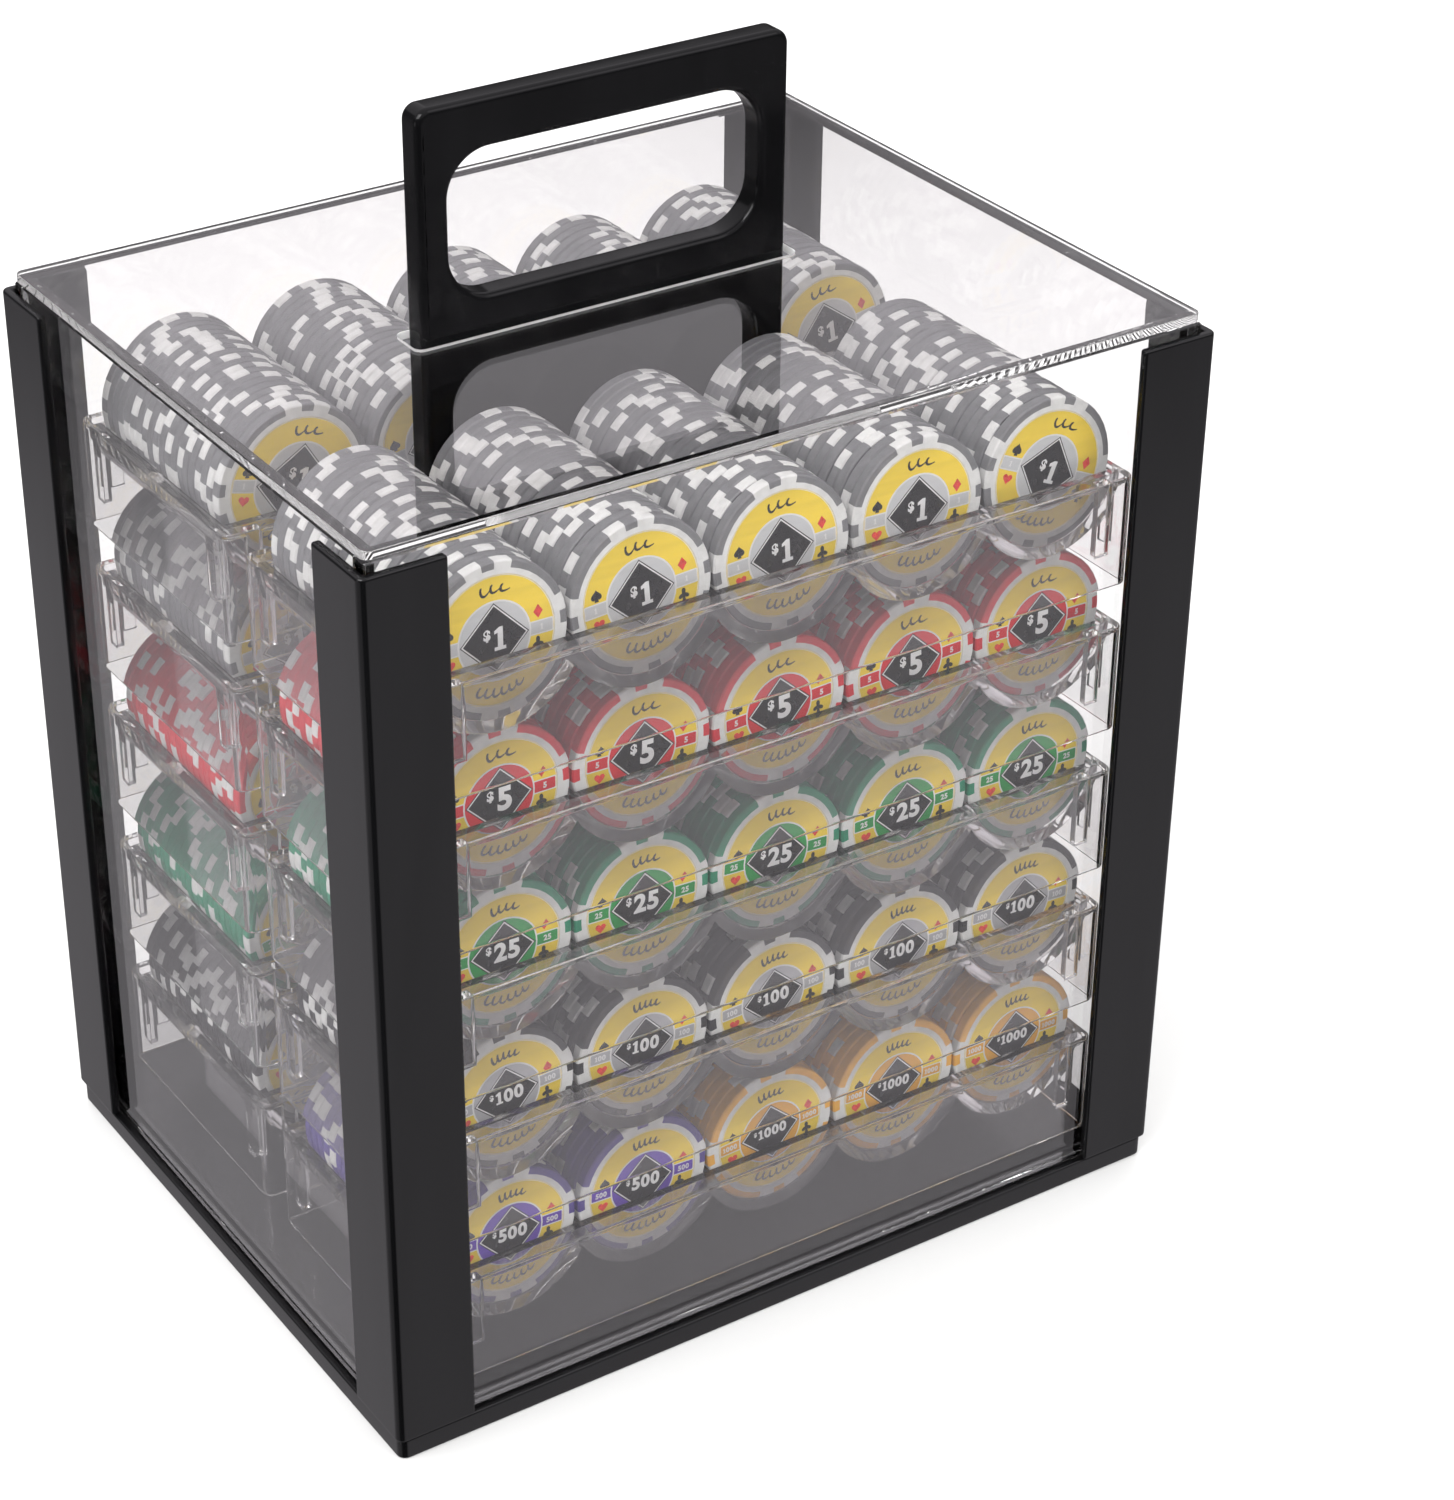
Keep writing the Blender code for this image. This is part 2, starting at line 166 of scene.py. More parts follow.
# ---- materials -------------------------------------------------------------------------------
class Finish:
    """A Principled material whose colour, roughness and surface come from procedural nodes."""

    def __init__(self, name, colour, rough, **sockets):
        self.mat = bpy.data.materials.new(name)
        self.mat.use_nodes = True
        self.nodes = self.mat.node_tree.nodes
        self.links = self.mat.node_tree.links
        self.shader = self.nodes["Principled BSDF"]
        self.colour = colour
        self.shader.inputs["Base Color"].default_value = (*colour, 1.0)
        self.shader.inputs["Roughness"].default_value = rough
        for socket, value in sockets.items():
            self.shader.inputs[socket.replace("_", " ")].default_value = value
        self.coordinates = self.nodes.new("ShaderNodeTexCoord").outputs["Object"]
        self.mat.diffuse_color = (*colour, 1.0)

    def noise(self, scale, detail=2.0, distortion=0.0, stretch=(1.0, 1.0, 1.0)):
        """Noise with about scale features to the metre."""
        mapping = self.nodes.new("ShaderNodeMapping")
        mapping.inputs["Scale"].default_value = stretch
        texture = self.nodes.new("ShaderNodeTexNoise")
        texture.inputs["Scale"].default_value = scale
        texture.inputs["Detail"].default_value = detail
        texture.inputs["Distortion"].default_value = distortion
        self.links.new(self.coordinates, mapping.inputs["Vector"])
        self.links.new(mapping.outputs["Vector"], texture.inputs["Vector"])
        return texture.outputs["Fac"]

    def rings(self, pitch, distortion):
        """Fine rings round the object's Y axis."""
        texture = self.nodes.new("ShaderNodeTexWave")
        texture.wave_type = "RINGS"
        texture.rings_direction = "Y"
        texture.inputs["Scale"].default_value = 0.314 / (pitch * MM)
        texture.inputs["Distortion"].default_value = distortion
        texture.inputs["Detail"].default_value = 1.0
        texture.inputs["Detail Scale"].default_value = 1.5
        self.links.new(self.coordinates, texture.inputs["Vector"])
        return texture.outputs["Fac"]

    def mottle(self, factor, amount, low=0.35, high=0.65):
        """The colour is darker and lighter by amount, as factor runs from low to high."""
        ramp = self.nodes.new("ShaderNodeValToRGB")
        for element, at, gain in zip(ramp.color_ramp.elements, (low, high), (1.0 - amount, 1.0 + amount)):
            element.position = at
            element.color = (*(min(1.0, c * gain) for c in self.colour), 1.0)
        self.links.new(factor, ramp.inputs["Fac"])
        self.links.new(ramp.outputs["Color"], self.shader.inputs["Base Color"])
        return self

    def gloss(self, factor, smooth, rough, low=0.3, high=0.7):
        """Roughness runs from smooth to rough as factor runs from low to high."""
        span = self.nodes.new("ShaderNodeMapRange")
        for socket, value in (("From Min", low), ("From Max", high), ("To Min", smooth), ("To Max", rough)):
            span.inputs[socket].default_value = value
        self.links.new(factor, span.inputs["Value"])
        self.links.new(span.outputs["Result"], self.shader.inputs["Roughness"])
        return self

    def relief(self, factor, strength, height):
        """Fine relief of that height in millimetres."""
        bump = self.nodes.new("ShaderNodeBump")
        bump.inputs["Strength"].default_value = strength
        bump.inputs["Distance"].default_value = height * MM
        self.links.new(factor, bump.inputs["Height"])
        self.links.new(bump.outputs["Normal"], self.shader.inputs["Normal"])
        return self


def black_plastic(name, smear, ior):
    """Glossy moulded plastic with faint wiping marks, stretched along the piece by smear."""
    finish = Finish(name, (0.0025, 0.0025, 0.0028), 0.12, IOR=ior)
    finish.mottle(finish.noise(40.0, 4.0, 0.6, smear), 0.25)
    finish.gloss(finish.noise(55.0, 5.0, 0.8, smear), 0.07, 0.17)
    finish.relief(finish.noise(900.0, 2.0), 0.05, 0.05)
    return finish.mat


def clear_sheet(name, tint):
    finish = Finish(name, tint, 0.0, IOR=1.49, Transmission_Weight=1.0)
    finish.mottle(finish.noise(18.0, 3.0), 0.012)
    return finish.mat


def sawn_sheet():
    finish = Finish("acrylic_sawn", (0.95, 0.95, 0.95), 0.35, IOR=1.49, Transmission_Weight=0.35)
    finish.mottle(finish.noise(400.0, 3.0, 0.0, (1.0, 1.0, 0.2)), 0.04)
    finish.relief(finish.noise(900.0, 2.0, 0.0, (1.0, 1.0, 0.1)), 0.4, 0.05)
    return finish.mat


def clear_moulding():
    finish = Finish("clear_moulding", (0.982, 0.974, 0.976), 0.0, IOR=1.57, Transmission_Weight=1.0)
    finish.mottle(finish.noise(30.0, 3.0), 0.01)
    finish.relief(finish.noise(60.0, 1.0, 0.4), 0.25, 0.03)
    return finish.mat


def chip_plastic(name, colour):
    finish = Finish(name, colour, 0.42, IOR=1.5)
    finish.mottle(finish.noise(420.0, 3.0), 0.06)
    finish.gloss(finish.noise(300.0, 3.0), 0.34, 0.5)
    finish.relief(finish.noise(2600.0, 2.0), 0.12, 0.04)
    return finish.mat


def foil(name, colour, metal, painted_glint_streaks=0.10):
    finish = Finish(name, colour, 0.34, Metallic=metal)
    # painted highlight: light and dark streaks stretched across the foil's colour stand in for the glints
    # that the foil mirrors
    finish.mottle(finish.noise(75.0, 3.0, 0.4, (0.22, 1.0, 1.5)), painted_glint_streaks)
    finish.gloss(finish.noise(260.0, 2.0), 0.28, 0.42)
    finish.relief(finish.rings(0.45, 3.0), 0.25, 0.03)
    return finish.mat


def ink(name, colour):
    finish = Finish(name, colour, 0.3)
    finish.mottle(finish.noise(900.0, 2.0), 0.15)
    finish.gloss(finish.noise(500.0, 2.0), 0.24, 0.36)
    return finish.mat


def steel():
    finish = Finish("turned_steel", (0.45, 0.45, 0.46), 0.3, Metallic=1.0)
    finish.mottle(finish.noise(500.0, 3.0, 0.0, (1.0, 1.0, 6.0)), 0.2)
    finish.gloss(finish.noise(400.0, 3.0), 0.22, 0.4)
    return finish.mat


board_black = black_plastic("board_black", (1.0, 1.0, 0.3), 1.28)
post_black = black_plastic("post_black", (1.0, 1.0, 0.15), 1.39)
base_black = black_plastic("base_black", (0.3, 0.3, 1.0), 1.42)
acrylic = clear_sheet("acrylic_sheet", (0.956, 0.950, 0.952))
acrylic_lid = clear_sheet("acrylic_lid", (0.865, 0.850, 0.856))
acrylic_sawn = sawn_sheet()
moulding = clear_moulding()
screw_steel = steel()

chip_white = chip_plastic("chip_white", (0.69, 0.69, 0.68))
CHIP_COLOURS = {
    "purple": (0.085, 0.055, 0.27),
    "yellow": (0.80, 0.40, 0.045),
    "black": (0.028, 0.028, 0.032),
    "green": (0.008, 0.25, 0.13),
    "red": (0.66, 0.03, 0.045),
    "grey": (0.19, 0.19, 0.20),
}
CENTRE_COLOURS = {
    "purple": (0.15, 0.07, 0.48),
    "yellow": (0.80, 0.40, 0.045),
    "black": (0.46, 0.46, 0.48),
    "green": (0.02, 0.34, 0.07),
    "red": (0.74, 0.03, 0.04),
    "grey": (0.62, 0.63, 0.64),
}
chip_insert = {key: chip_plastic("chip_" + key, colour) for key, colour in CHIP_COLOURS.items()}
centre_foil = {key: foil("foil_" + key, colour, 0.3) for key, colour in CENTRE_COLOURS.items()}
# the gold gets stronger painted highlight streaks than the other foils
gold_foil = foil("foil_gold", (0.84, 0.61, 0.045), 0.12, 0.17)
silver_foil = foil("foil_silver", (0.80, 0.80, 0.80), 0.3)
black_ink = ink("ink_black", (0.012, 0.012, 0.014))
red_ink = ink("ink_red", (0.70, 0.04, 0.03))

# material numbers in a stack's mesh
WHITE, INSERT, GOLD, CENTRE, SILVER, BLACK, RED = range(7)


def stack_materials(key):
    return [chip_white, chip_insert[key], gold_foil, centre_foil[key], silver_foil, black_ink, red_ink]


# ---- outlines --------------------------------------------------------------------------------
def circle(r, steps, cx=0.0, cy=0.0):
    turn = 2.0 * math.pi / steps
    return [(cx + r * math.cos(k * turn), cy + r * math.sin(k * turn)) for k in range(steps)]


def round_rect(hx, hy, r, steps, cx=0.0, cy=0.0):
    """Closed outline of a rounded rectangle, counter-clockwise."""
    points = []
    corners = ((hx - r, hy - r), (-hx + r, hy - r), (-hx + r, -hy + r), (hx - r, -hy + r))
    for quarter, (x, y) in enumerate(corners):
        for k in range(steps + 1):
            a = 0.5 * math.pi * (quarter + k / steps)
            points.append((cx + x + r * math.cos(a), cy + y + r * math.sin(a)))
    return points


def rhombus(hx, hy, cx=0.0, cy=0.0):
    return [(cx + hx, cy), (cx, cy + hy), (cx - hx, cy), (cx, cy - hy)]


def moved(outline, cx, cy, scale=1.0):
    return [(cx + scale * x, cy + scale * y) for x, y in outline]


# ---- closed shells gathered into one mesh ----------------------------------------------------
class Shells:
    """Closed shells with a material number on each face, in millimetres."""

    def __init__(self):
        self.points = []
        self.faces = []
        self.paint = []
        self.count = 0

    def add(self, points, faces, paint):
        """paint is one material number, or one for each face."""
        self.points.append(np.asarray(points, float).reshape(-1, 3))
        self.faces += [tuple(i + self.count for i in face) for face in faces]
        self.paint += [paint] * len(faces) if isinstance(paint, int) else list(paint)
        self.count += len(points)

    def join(self, other, matrix):
        """Adds a copy of other, placed by a 4 by 4 matrix."""
        points = np.concatenate(other.points)
        turn = np.array(matrix.to_3x3())
        self.add(points @ turn.T + np.array(matrix.translation), other.faces, other.paint)

    def prism(self, outline, z0, z1, paint):
        """Counter-clockwise outline in X and Y, raised from z0 to z1."""
        n = len(outline)
        points = [(x, y, z0) for x, y in outline] + [(x, y, z1) for x, y in outline]
        sides = [(i, (i + 1) % n, n + (i + 1) % n, n + i) for i in range(n)]
        self.add(points, [tuple(range(n - 1, -1, -1)), tuple(range(n, 2 * n))] + sides, paint)

    def ring(self, outer, inner, z0, z1, paint):
        """A raised band between two outlines with as many points each."""
        n = len(outer)
        lines = ((outer, z0), (outer, z1), (inner, z1), (inner, z0))
        points = [(x, y, z) for line, z in lines for x, y in line]
        faces = []
        for k in range(4):
            low, high = k * n, ((k + 1) % 4) * n
            faces += [(low + i, low + (i + 1) % n, high + (i + 1) % n, high + i) for i in range(n)]
        self.add(points, faces, paint)

    def mesh(self, name, materials, sharp=30.0):
        data = bpy.data.meshes.new(name)
        data.from_pydata((np.concatenate(self.points) * MM).tolist(), [], self.faces)
        data.polygons.foreach_set("material_index", np.array(self.paint, np.int32))
        for material in materials:
            data.materials.append(material)
        data.shade_smooth()
        data.set_sharp_from_angle(angle=math.radians(sharp))
        return data


# ---- chip ------------------------------------------------------------------------------------
def rim_sectors():
    """(start angle in degrees, True on an insert) for each facet round a chip."""
    gap = 0.5 * (90.0 - LONG_INSERT - SHORT_INSERT)
    runs = ((SHORT_INSERT, 2, True), (gap, 2, False), (LONG_INSERT, 6, True), (gap, 2, False))
    sectors = []
    a = SHORT_INSERT_AT - 0.5 * SHORT_INSERT
    for _ in range(4):
        for width, facets, insert in runs:
            sectors += [(a + width * k / facets, insert) for k in range(facets)]
            a += width
    return sectors


def chip_shell(labelled):
    """One chip with its upper face at z 0; a labelled one has a recess in that face."""
    face = [(LABEL_R + 0.15, 0.0)] if labelled else []
    seat = [(LABEL_R + 0.05, -LABEL_SEAT)] if labelled else []
    upper = seat + face + [(INSERT_R, 0.0), (CHIP_R - EDGE_ROUND, 0.0), (CHIP_R, -EDGE_ROUND)]
    lower = [(CHIP_R, EDGE_ROUND - CHIP_T), (CHIP_R - EDGE_ROUND, -CHIP_T), (INSERT_R, -CHIP_T)]
    profile = upper + lower
    sectors = rim_sectors()
    n = len(sectors)
    points = []
    for r, z in profile:
        points += [(r * math.cos(math.radians(a)), r * math.sin(math.radians(a)), z) for a, _ in sectors]
    faces = [tuple(range(n))]
    paint = [WHITE]
    for row in range(len(profile) - 1):
        rim = min(profile[row][0], profile[row + 1][0]) > INSERT_R - 0.01
        for i, (_, insert) in enumerate(sectors):
            j = (i + 1) % n
            faces.append((row * n + i, (row + 1) * n + i, (row + 1) * n + j, row * n + j))
            paint.append(INSERT if insert and rim else WHITE)
    last = (len(profile) - 1) * n
    faces.append(tuple(range(last + n - 1, last - 1, -1)))
    paint.append(WHITE)
    shell = Shells()
    shell.add(points, faces, paint)
    return shell


# ---- label -----------------------------------------------------------------------------------
DIGIT_ONE = [
    (-0.26, 0.0), (0.26, 0.0), (0.26, 0.15), (0.13, 0.15), (0.13, 1.0), (-0.03, 1.0),
    (-0.26, 0.86), (-0.26, 0.72), (-0.11, 0.76), (-0.11, 0.15), (-0.26, 0.15),
]
DIGIT_STEP = {"1": 0.62, "2": 0.78, "5": 0.76, "0": 0.82}
CAP_HEIGHT = 0.70             # of the built-in font, for size 1


def heart(width):
    """Heart outline of that width, centred."""
    points = []
    for k in range(20):
        t = -2.0 * math.pi * k / 20
        x = 16.0 * math.sin(t) ** 3
        y = 13.0 * math.cos(t) - 5.0 * math.cos(2 * t) - 2.0 * math.cos(3 * t) - math.cos(4 * t)
        points.append((x * width / 32.0, (y + 2.5) * width / 32.0))
    return points


def trefoil(width):
    """Three round lobes, one pointing up."""
    points = []
    for k in range(30):
        a = 2.0 * math.pi * k / 30
        r = 0.5 * width * (0.66 + 0.34 * math.cos(3.0 * (a - 0.5 * math.pi)))
        points.append((r * math.cos(a), r * math.sin(a)))
    return points


def stem(width):
    """The foot of a spade or a club."""
    foot, neck, down = 0.2 * width, 0.05 * width, -0.62 * width
    return [(-foot, down), (foot, down), (neck, 0.0), (-neck, 0.0)]


def glyph(character):
    """A digit or sign of the built-in font as a solid of height 1 at z 0 to 1, centred on X."""
    curve = bpy.data.curves.new("glyph", "FONT")
    curve.body = character
    curve.offset = 0.042
    curve.extrude = 0.5
    curve.resolution_u = 5
    obj = bpy.data.objects.new("glyph", curve)
    bpy.context.scene.collection.objects.link(obj)
    mesh = bpy.data.meshes.new_from_object(obj.evaluated_get(bpy.context.evaluated_depsgraph_get()))
    bm = bmesh.new()
    bm.from_mesh(mesh)
    bmesh.ops.remove_doubles(bm, verts=bm.verts[:], dist=1e-5)
    points = np.array([v.co for v in bm.verts])
    faces = [tuple(v.index for v in face.verts) for face in bm.faces]
    bm.free()
    bpy.data.objects.remove(obj, do_unlink=True)
    points[:, 0] -= 0.5 * (points[:, 0].min() + points[:, 0].max())
    points[:, 1] -= max(0.0, points[:, 1].min())
    points[:, :2] /= CAP_HEIGHT
    points[:, 2] += 0.5
    return points, faces


glyphs = {character: glyph(character) for character in "250$"}


def write_number(shells, text, height, cx, cy, z0, z1, paint):
    """A row of digits centred on cx and cy."""
    x = cx - 0.5 * height * sum(DIGIT_STEP[c] for c in text)
    for c in text:
        x += 0.5 * height * DIGIT_STEP[c]
        if c == "1":
            shells.prism(moved(DIGIT_ONE, x, cy - 0.5 * height, height), z0, z1, paint)
        else:
            place_glyph(shells, c, height, x, cy - 0.5 * height, z0, z1, paint)
        x += 0.5 * height * DIGIT_STEP[c]


def place_glyph(shells, c, height, x, y, z0, z1, paint):
    """One sign of that height, centred on x with its foot on y."""
    points, faces = glyphs[c]
    placed = points * (height, height, z1 - z0) + (x, y, z0)
    shells.add(placed, faces, paint)


def flourish(shells, middle, half_deg, waves, z0, z1):
    """A row of pen waves, thick down and thin up, along an arc; it stands where a real chip has words."""
    half, radius, swing = math.radians(half_deg), PEN_R * CHIP_R, PEN_SWING * CHIP_R
    way = 1.0 if middle > 0.0 else -1.0
    steps = 14 * waves
    points, strokes = [], []
    for k in range(steps + 1):
        t = k / steps
        phase = 2.0 * math.pi * waves * t
        height = swing * (1.35 - 0.5 * t)
        a = math.radians(middle) - way * half * (2.0 * t - 1.0 + 0.60 / waves * math.sin(phase + 0.9))
        r = radius + way * height * math.sin(phase)
        points.append((r * math.cos(a), r * math.sin(a)))
        strokes.append((PEN_HALF[0] + PEN_HALF[1] * math.cos(phase + 2.6)) * CHIP_R)
    left, right = [], []
    for k, (x, y) in enumerate(points):
        x0, y0 = points[max(0, k - 1)]
        x1, y1 = points[min(steps, k + 1)]
        scale = strokes[k] / math.hypot(x1 - x0, y1 - y0)
        left.append((x - (y1 - y0) * scale, y + (x1 - x0) * scale))
        right.append((x + (y1 - y0) * scale, y - (x1 - x0) * scale))
    shells.prism(right + left[::-1], z0, z1, BLACK)


def label_shells(value):
    """The printed foil label in X and Y, its face towards +Z: thin layers, each a little above the last."""
    shells = Shells()
    levels = [-LABEL_SEAT + 0.03 + PRINT_STEP * k for k in range(7)]
    under = -LABEL_SEAT - 0.02
    r = CHIP_R
    shells.prism(circle(LABEL_R, 48), under, levels[0], GOLD)
    shells.ring(circle(LABEL_R - 0.10, 48), circle(LABEL_R - 0.26, 48), under, levels[1], SILVER)
    for (hx, hy), level, paint in zip(BANDS, levels[1:3], (SILVER, CENTRE)):
        shells.prism(round_rect(hx * r, hy * r, 0.01 * r, 1), under, level, paint)
    for radius, level, paint in zip(DISCS, levels[3:5], (SILVER, CENTRE)):
        shells.prism(circle(radius * r, 40), under, level, paint)
    for k, (half, paint) in enumerate(zip(DIAMONDS, (BLACK, SILVER, BLACK))):
        shells.prism(rhombus(half * r, half * r), under, levels[4] + 0.5 * (k + 1) * PRINT_STEP, paint)
    height = NUMBER_HEIGHT[len(value)] * r
    shift = 0.25 * height
    write_number(shells, value, height, shift, 0.0, under, levels[6], SILVER)
    width = height * sum(DIGIT_STEP[c] for c in value)
    sign_x = shift - 0.5 * width - 0.28 * height
    place_glyph(shells, "$", 0.42 * height, sign_x, 0.05 * height, under, levels[6], SILVER)
    for side in (-1, 1):
        x = side * SMALL_NUMBER[1] * r
        write_number(shells, value, SMALL_NUMBER[0] * r, x, 0.0, under, levels[3], SILVER)
    flourish(shells, 90.0, 18.0, min(5, 2 + len(value)), under, levels[1])
    flourish(shells, -90.0, 29.0, 6, under, levels[1])
    suit = SUIT * r
    spade = moved([(x, -y) for x, y in heart(suit)][::-1], -0.62 * r, 0.205 * r)
    for outline, paint in (
        (spade, BLACK),
        (moved(stem(suit), -0.62 * r, 0.205 * r), BLACK),
        (rhombus(0.42 * suit, 0.58 * suit, 0.60 * r, 0.21 * r), RED),
        (moved(heart(suit), -0.61 * r, -0.21 * r), RED),
        (moved(trefoil(suit * 1.1), 0.59 * r, -0.195 * r), BLACK),
        (moved(stem(suit), 0.59 * r, -0.20 * r), BLACK),
    ):
        shells.prism(outline, under, levels[1], paint)
    return shells


# ---- stacks ----------------------------------------------------------------------------------
plain_chip = chip_shell(False)
end_chip = chip_shell(True)
labels = {key: label_shells(value) for key, value in VALUES.items()}
FACE_FRONT = Matrix.Rotation(math.radians(90.0), 4, "X")      # a chip's upper face turned to -Y
FACE_BACK = Matrix.Rotation(math.radians(180.0), 4, "Z") @ FACE_FRONT


def turn(axis, degrees):
    return Matrix.Rotation(math.radians(degrees), 4, axis)


def wobble(rng):
    return rng.uniform(-CHIP_LEAN, CHIP_LEAN)


def stack_mesh(name, key, length, lean, end_spin, rng):
    """Twenty chips on edge along Y, centred on the origin, with a label on both end faces."""
    shells = Shells()
    slack = [rng.random() ** 2 for _ in range(CHIPS - 1)]
    spare = length - CHIPS * CHIP_T - abs(math.sin(math.radians(lean))) * CHIP_R * 0.5
    share = max(spare, 0.0) / sum(slack)
    y = -0.5 * length
    for i in range(CHIPS):
        front, back = i == 0, i == CHIPS - 1
        tilt = turn("X", -lean + wobble(rng)) @ turn("Z", wobble(rng))
        spin = rng.uniform(0.0, 360.0)
        if front:
            spin = end_spin
        aside, low = rng.uniform(-CHIP_SHIFT[0], CHIP_SHIFT[0]), rng.uniform(-CHIP_SHIFT[1], 0.0)
        place = Matrix.Translation((aside, y, low)) @ tilt
        if back:
            place = place @ Matrix.Translation((0.0, CHIP_T, 0.0)) @ FACE_BACK @ turn("Z", spin)
        else:
            place = place @ FACE_FRONT @ turn("Z", spin)
        shells.join(end_chip if front or back else plain_chip, place)
        if front or back:
            shells.join(labels[key], place)
        y += CHIP_T + (share * slack[i] if i < CHIPS - 1 else 0.0)
    return shells.mesh(name, stack_materials(key))


def place_piece(name, data, at, body, slot, *replaced):
    """A finished piece: it rides on its body and stands for its CAD nodes."""
    obj = bpy.data.objects.new(name, data)
    bpy.context.scene.collection.objects.link(obj)
    obj.location = at
    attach(obj, body)
    if replaced:
        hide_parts(*replaced)
    return obj


def middle_of(node):
    """A CAD node's middle in metres and its size in millimetres."""
    low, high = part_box(node)
    return (low + high) / 2, (high - low) * FRAME_TO_MM


def make_stacks():
    rng = random.Random(7)
    for layer in range(1, LAYERS + 1):
        for column in range(1, COLUMNS + 1):
            key = FRONT_CHIPS[layer - 1]
            if layer == 1 and column > YELLOW_FROM:
                key = "yellow"
            node = "chips_front_%d_%d" % (layer, column)
            centre, size = middle_of(node)
            top = layer == LAYERS
            lean = rng.uniform(*(TOP_LEAN if top else FRONT_LEAN))
            spin = ODD_SPIN if top and column == COLUMNS else rng.uniform(*FRONT_SPIN)
            name = "front_stack_%d_%d" % (layer, column)
            data = stack_mesh(name, key, size.y, lean, spin, rng)
            place_piece(name, data, centre, "front_%d" % layer, "chips_" + key, node)
    for layer in range(1, LAYERS + 1):
        key = REAR_CHIPS[layer - 1]
        node = "chips_rear_%d" % layer
        centre, size = middle_of(node)
        for column in range(1, COLUMNS + 1):
            pitch = (size.x - 2.0 * CHIP_R) / (COLUMNS - 1)
            at = centre.copy()
            at.x += (column - 0.5 * (COLUMNS + 1)) * pitch * MM
            name = "rear_stack_%d_%d" % (layer, column)
            lean, spin = rng.uniform(*REAR_LEAN), rng.uniform(*REAR_SPIN)
            data = stack_mesh(name, key, size.y, lean, spin, rng)
            place_piece(name, data, at, "rear_%d" % layer, "chips_" + key, node)


# ---- solids made with booleans ---------------------------------------------------------------
def prism_object(outline, low, high, axis="Z"):
    """Outline raised along Z from low to high, or given in X and Z and carried along Y."""
    shells = Shells()
    shells.prism(outline, low, high, 0)
    data = shells.mesh("solid", [])
    if axis == "Y":
        data.transform(Matrix.Rotation(math.radians(90.0), 4, "X"))
        data.transform(Matrix.Scale(-1.0, 4, (0.0, 1.0, 0.0)))
        data.flip_normals()
    obj = bpy.data.objects.new("solid", data)
    bpy.context.scene.collection.objects.link(obj)
    return obj


def apply_modifiers(obj):
    graph = bpy.context.evaluated_depsgraph_get()
    data = bpy.data.meshes.new_from_object(obj.evaluated_get(graph))
    obj.modifiers.clear()
    obj.data = data


def combine(obj, other, operation):
    mod = obj.modifiers.new("boolean", "BOOLEAN")
    mod.operation = operation
    mod.solver = "EXACT"
    mod.object = other
    apply_modifiers(obj)
    bpy.data.objects.remove(other, do_unlink=True)


def clean(obj):
    """Joins doubled points and drops the edges that booleans leave across flat faces."""
    bm = bmesh.new()
    bm.from_mesh(obj.data)
    bmesh.ops.remove_doubles(bm, verts=bm.verts[:], dist=1e-6)
    bmesh.ops.dissolve_limit(bm, angle_limit=math.radians(0.5), verts=bm.verts[:], edges=bm.edges[:])
    bmesh.ops.recalc_face_normals(bm, faces=bm.faces[:])
    bm.to_mesh(obj.data)
    bm.free()


def round_edges(obj, width, segments):
    mod = obj.modifiers.new("bevel", "BEVEL")
    mod.width = width * MM
    mod.segments = segments
    mod.limit_method = "ANGLE"
    mod.angle_limit = math.radians(SHARP)
    mod.use_clamp_overlap = False
    apply_modifiers(obj)


def take_mesh(obj, name, material):
    """The object's mesh, ready to use, its flat faces shaded flat; the object itself is removed."""
    obj.data.materials.clear()
    obj.data.materials.append(material)
    obj.data.shade_smooth()
    obj.data.set_sharp_from_angle(angle=math.radians(SHARP))
    mod = obj.modifiers.new("flat faces", "WEIGHTED_NORMAL")
    mod.weight = 100
    mod.keep_sharp = True
    apply_modifiers(obj)
    data = obj.data
    data.name = name
    bpy.data.objects.remove(obj, do_unlink=True)
    return data


# ---- racks -----------------------------------------------------------------------------------
def column_x(i, pitch):
    return (i - 0.5 * (COLUMNS - 1)) * pitch


def shell_outline(hx, lip, pitch):
    """Lower envelope of the five cradle shells, closed inside the rack's top skin."""
    half = hx - SHELL_INSET
    points = []
    steps = 22
    for i in range(COLUMNS):
        xc = column_x(i, pitch)
        left = -half - xc if i == 0 else -0.5 * pitch
        right = half - xc if i == COLUMNS - 1 else 0.5 * pitch
        a0, a1 = math.asin(left / SHELL_R), math.asin(right / SHELL_R)
        for k in range(0 if i == 0 else 1, steps + 1):
            a = a0 + (a1 - a0) * k / steps
            points.append((xc + SHELL_R * math.sin(a), lip + AXIS_UP - SHELL_R * math.cos(a)))
    return points + [(half, lip - BURY), (-half, lip - BURY)]


def cradle_outline(xc, lip):
    half = math.acos((AXIS_UP - CRADLE_PAST) / CRADLE_R)
    steps = 36
    points = []
    for k in range(steps + 1):
        a = -half + 2.0 * half * k / steps
        points.append((xc + CRADLE_R * math.sin(a), lip + AXIS_UP - CRADLE_R * math.cos(a)))
    return points


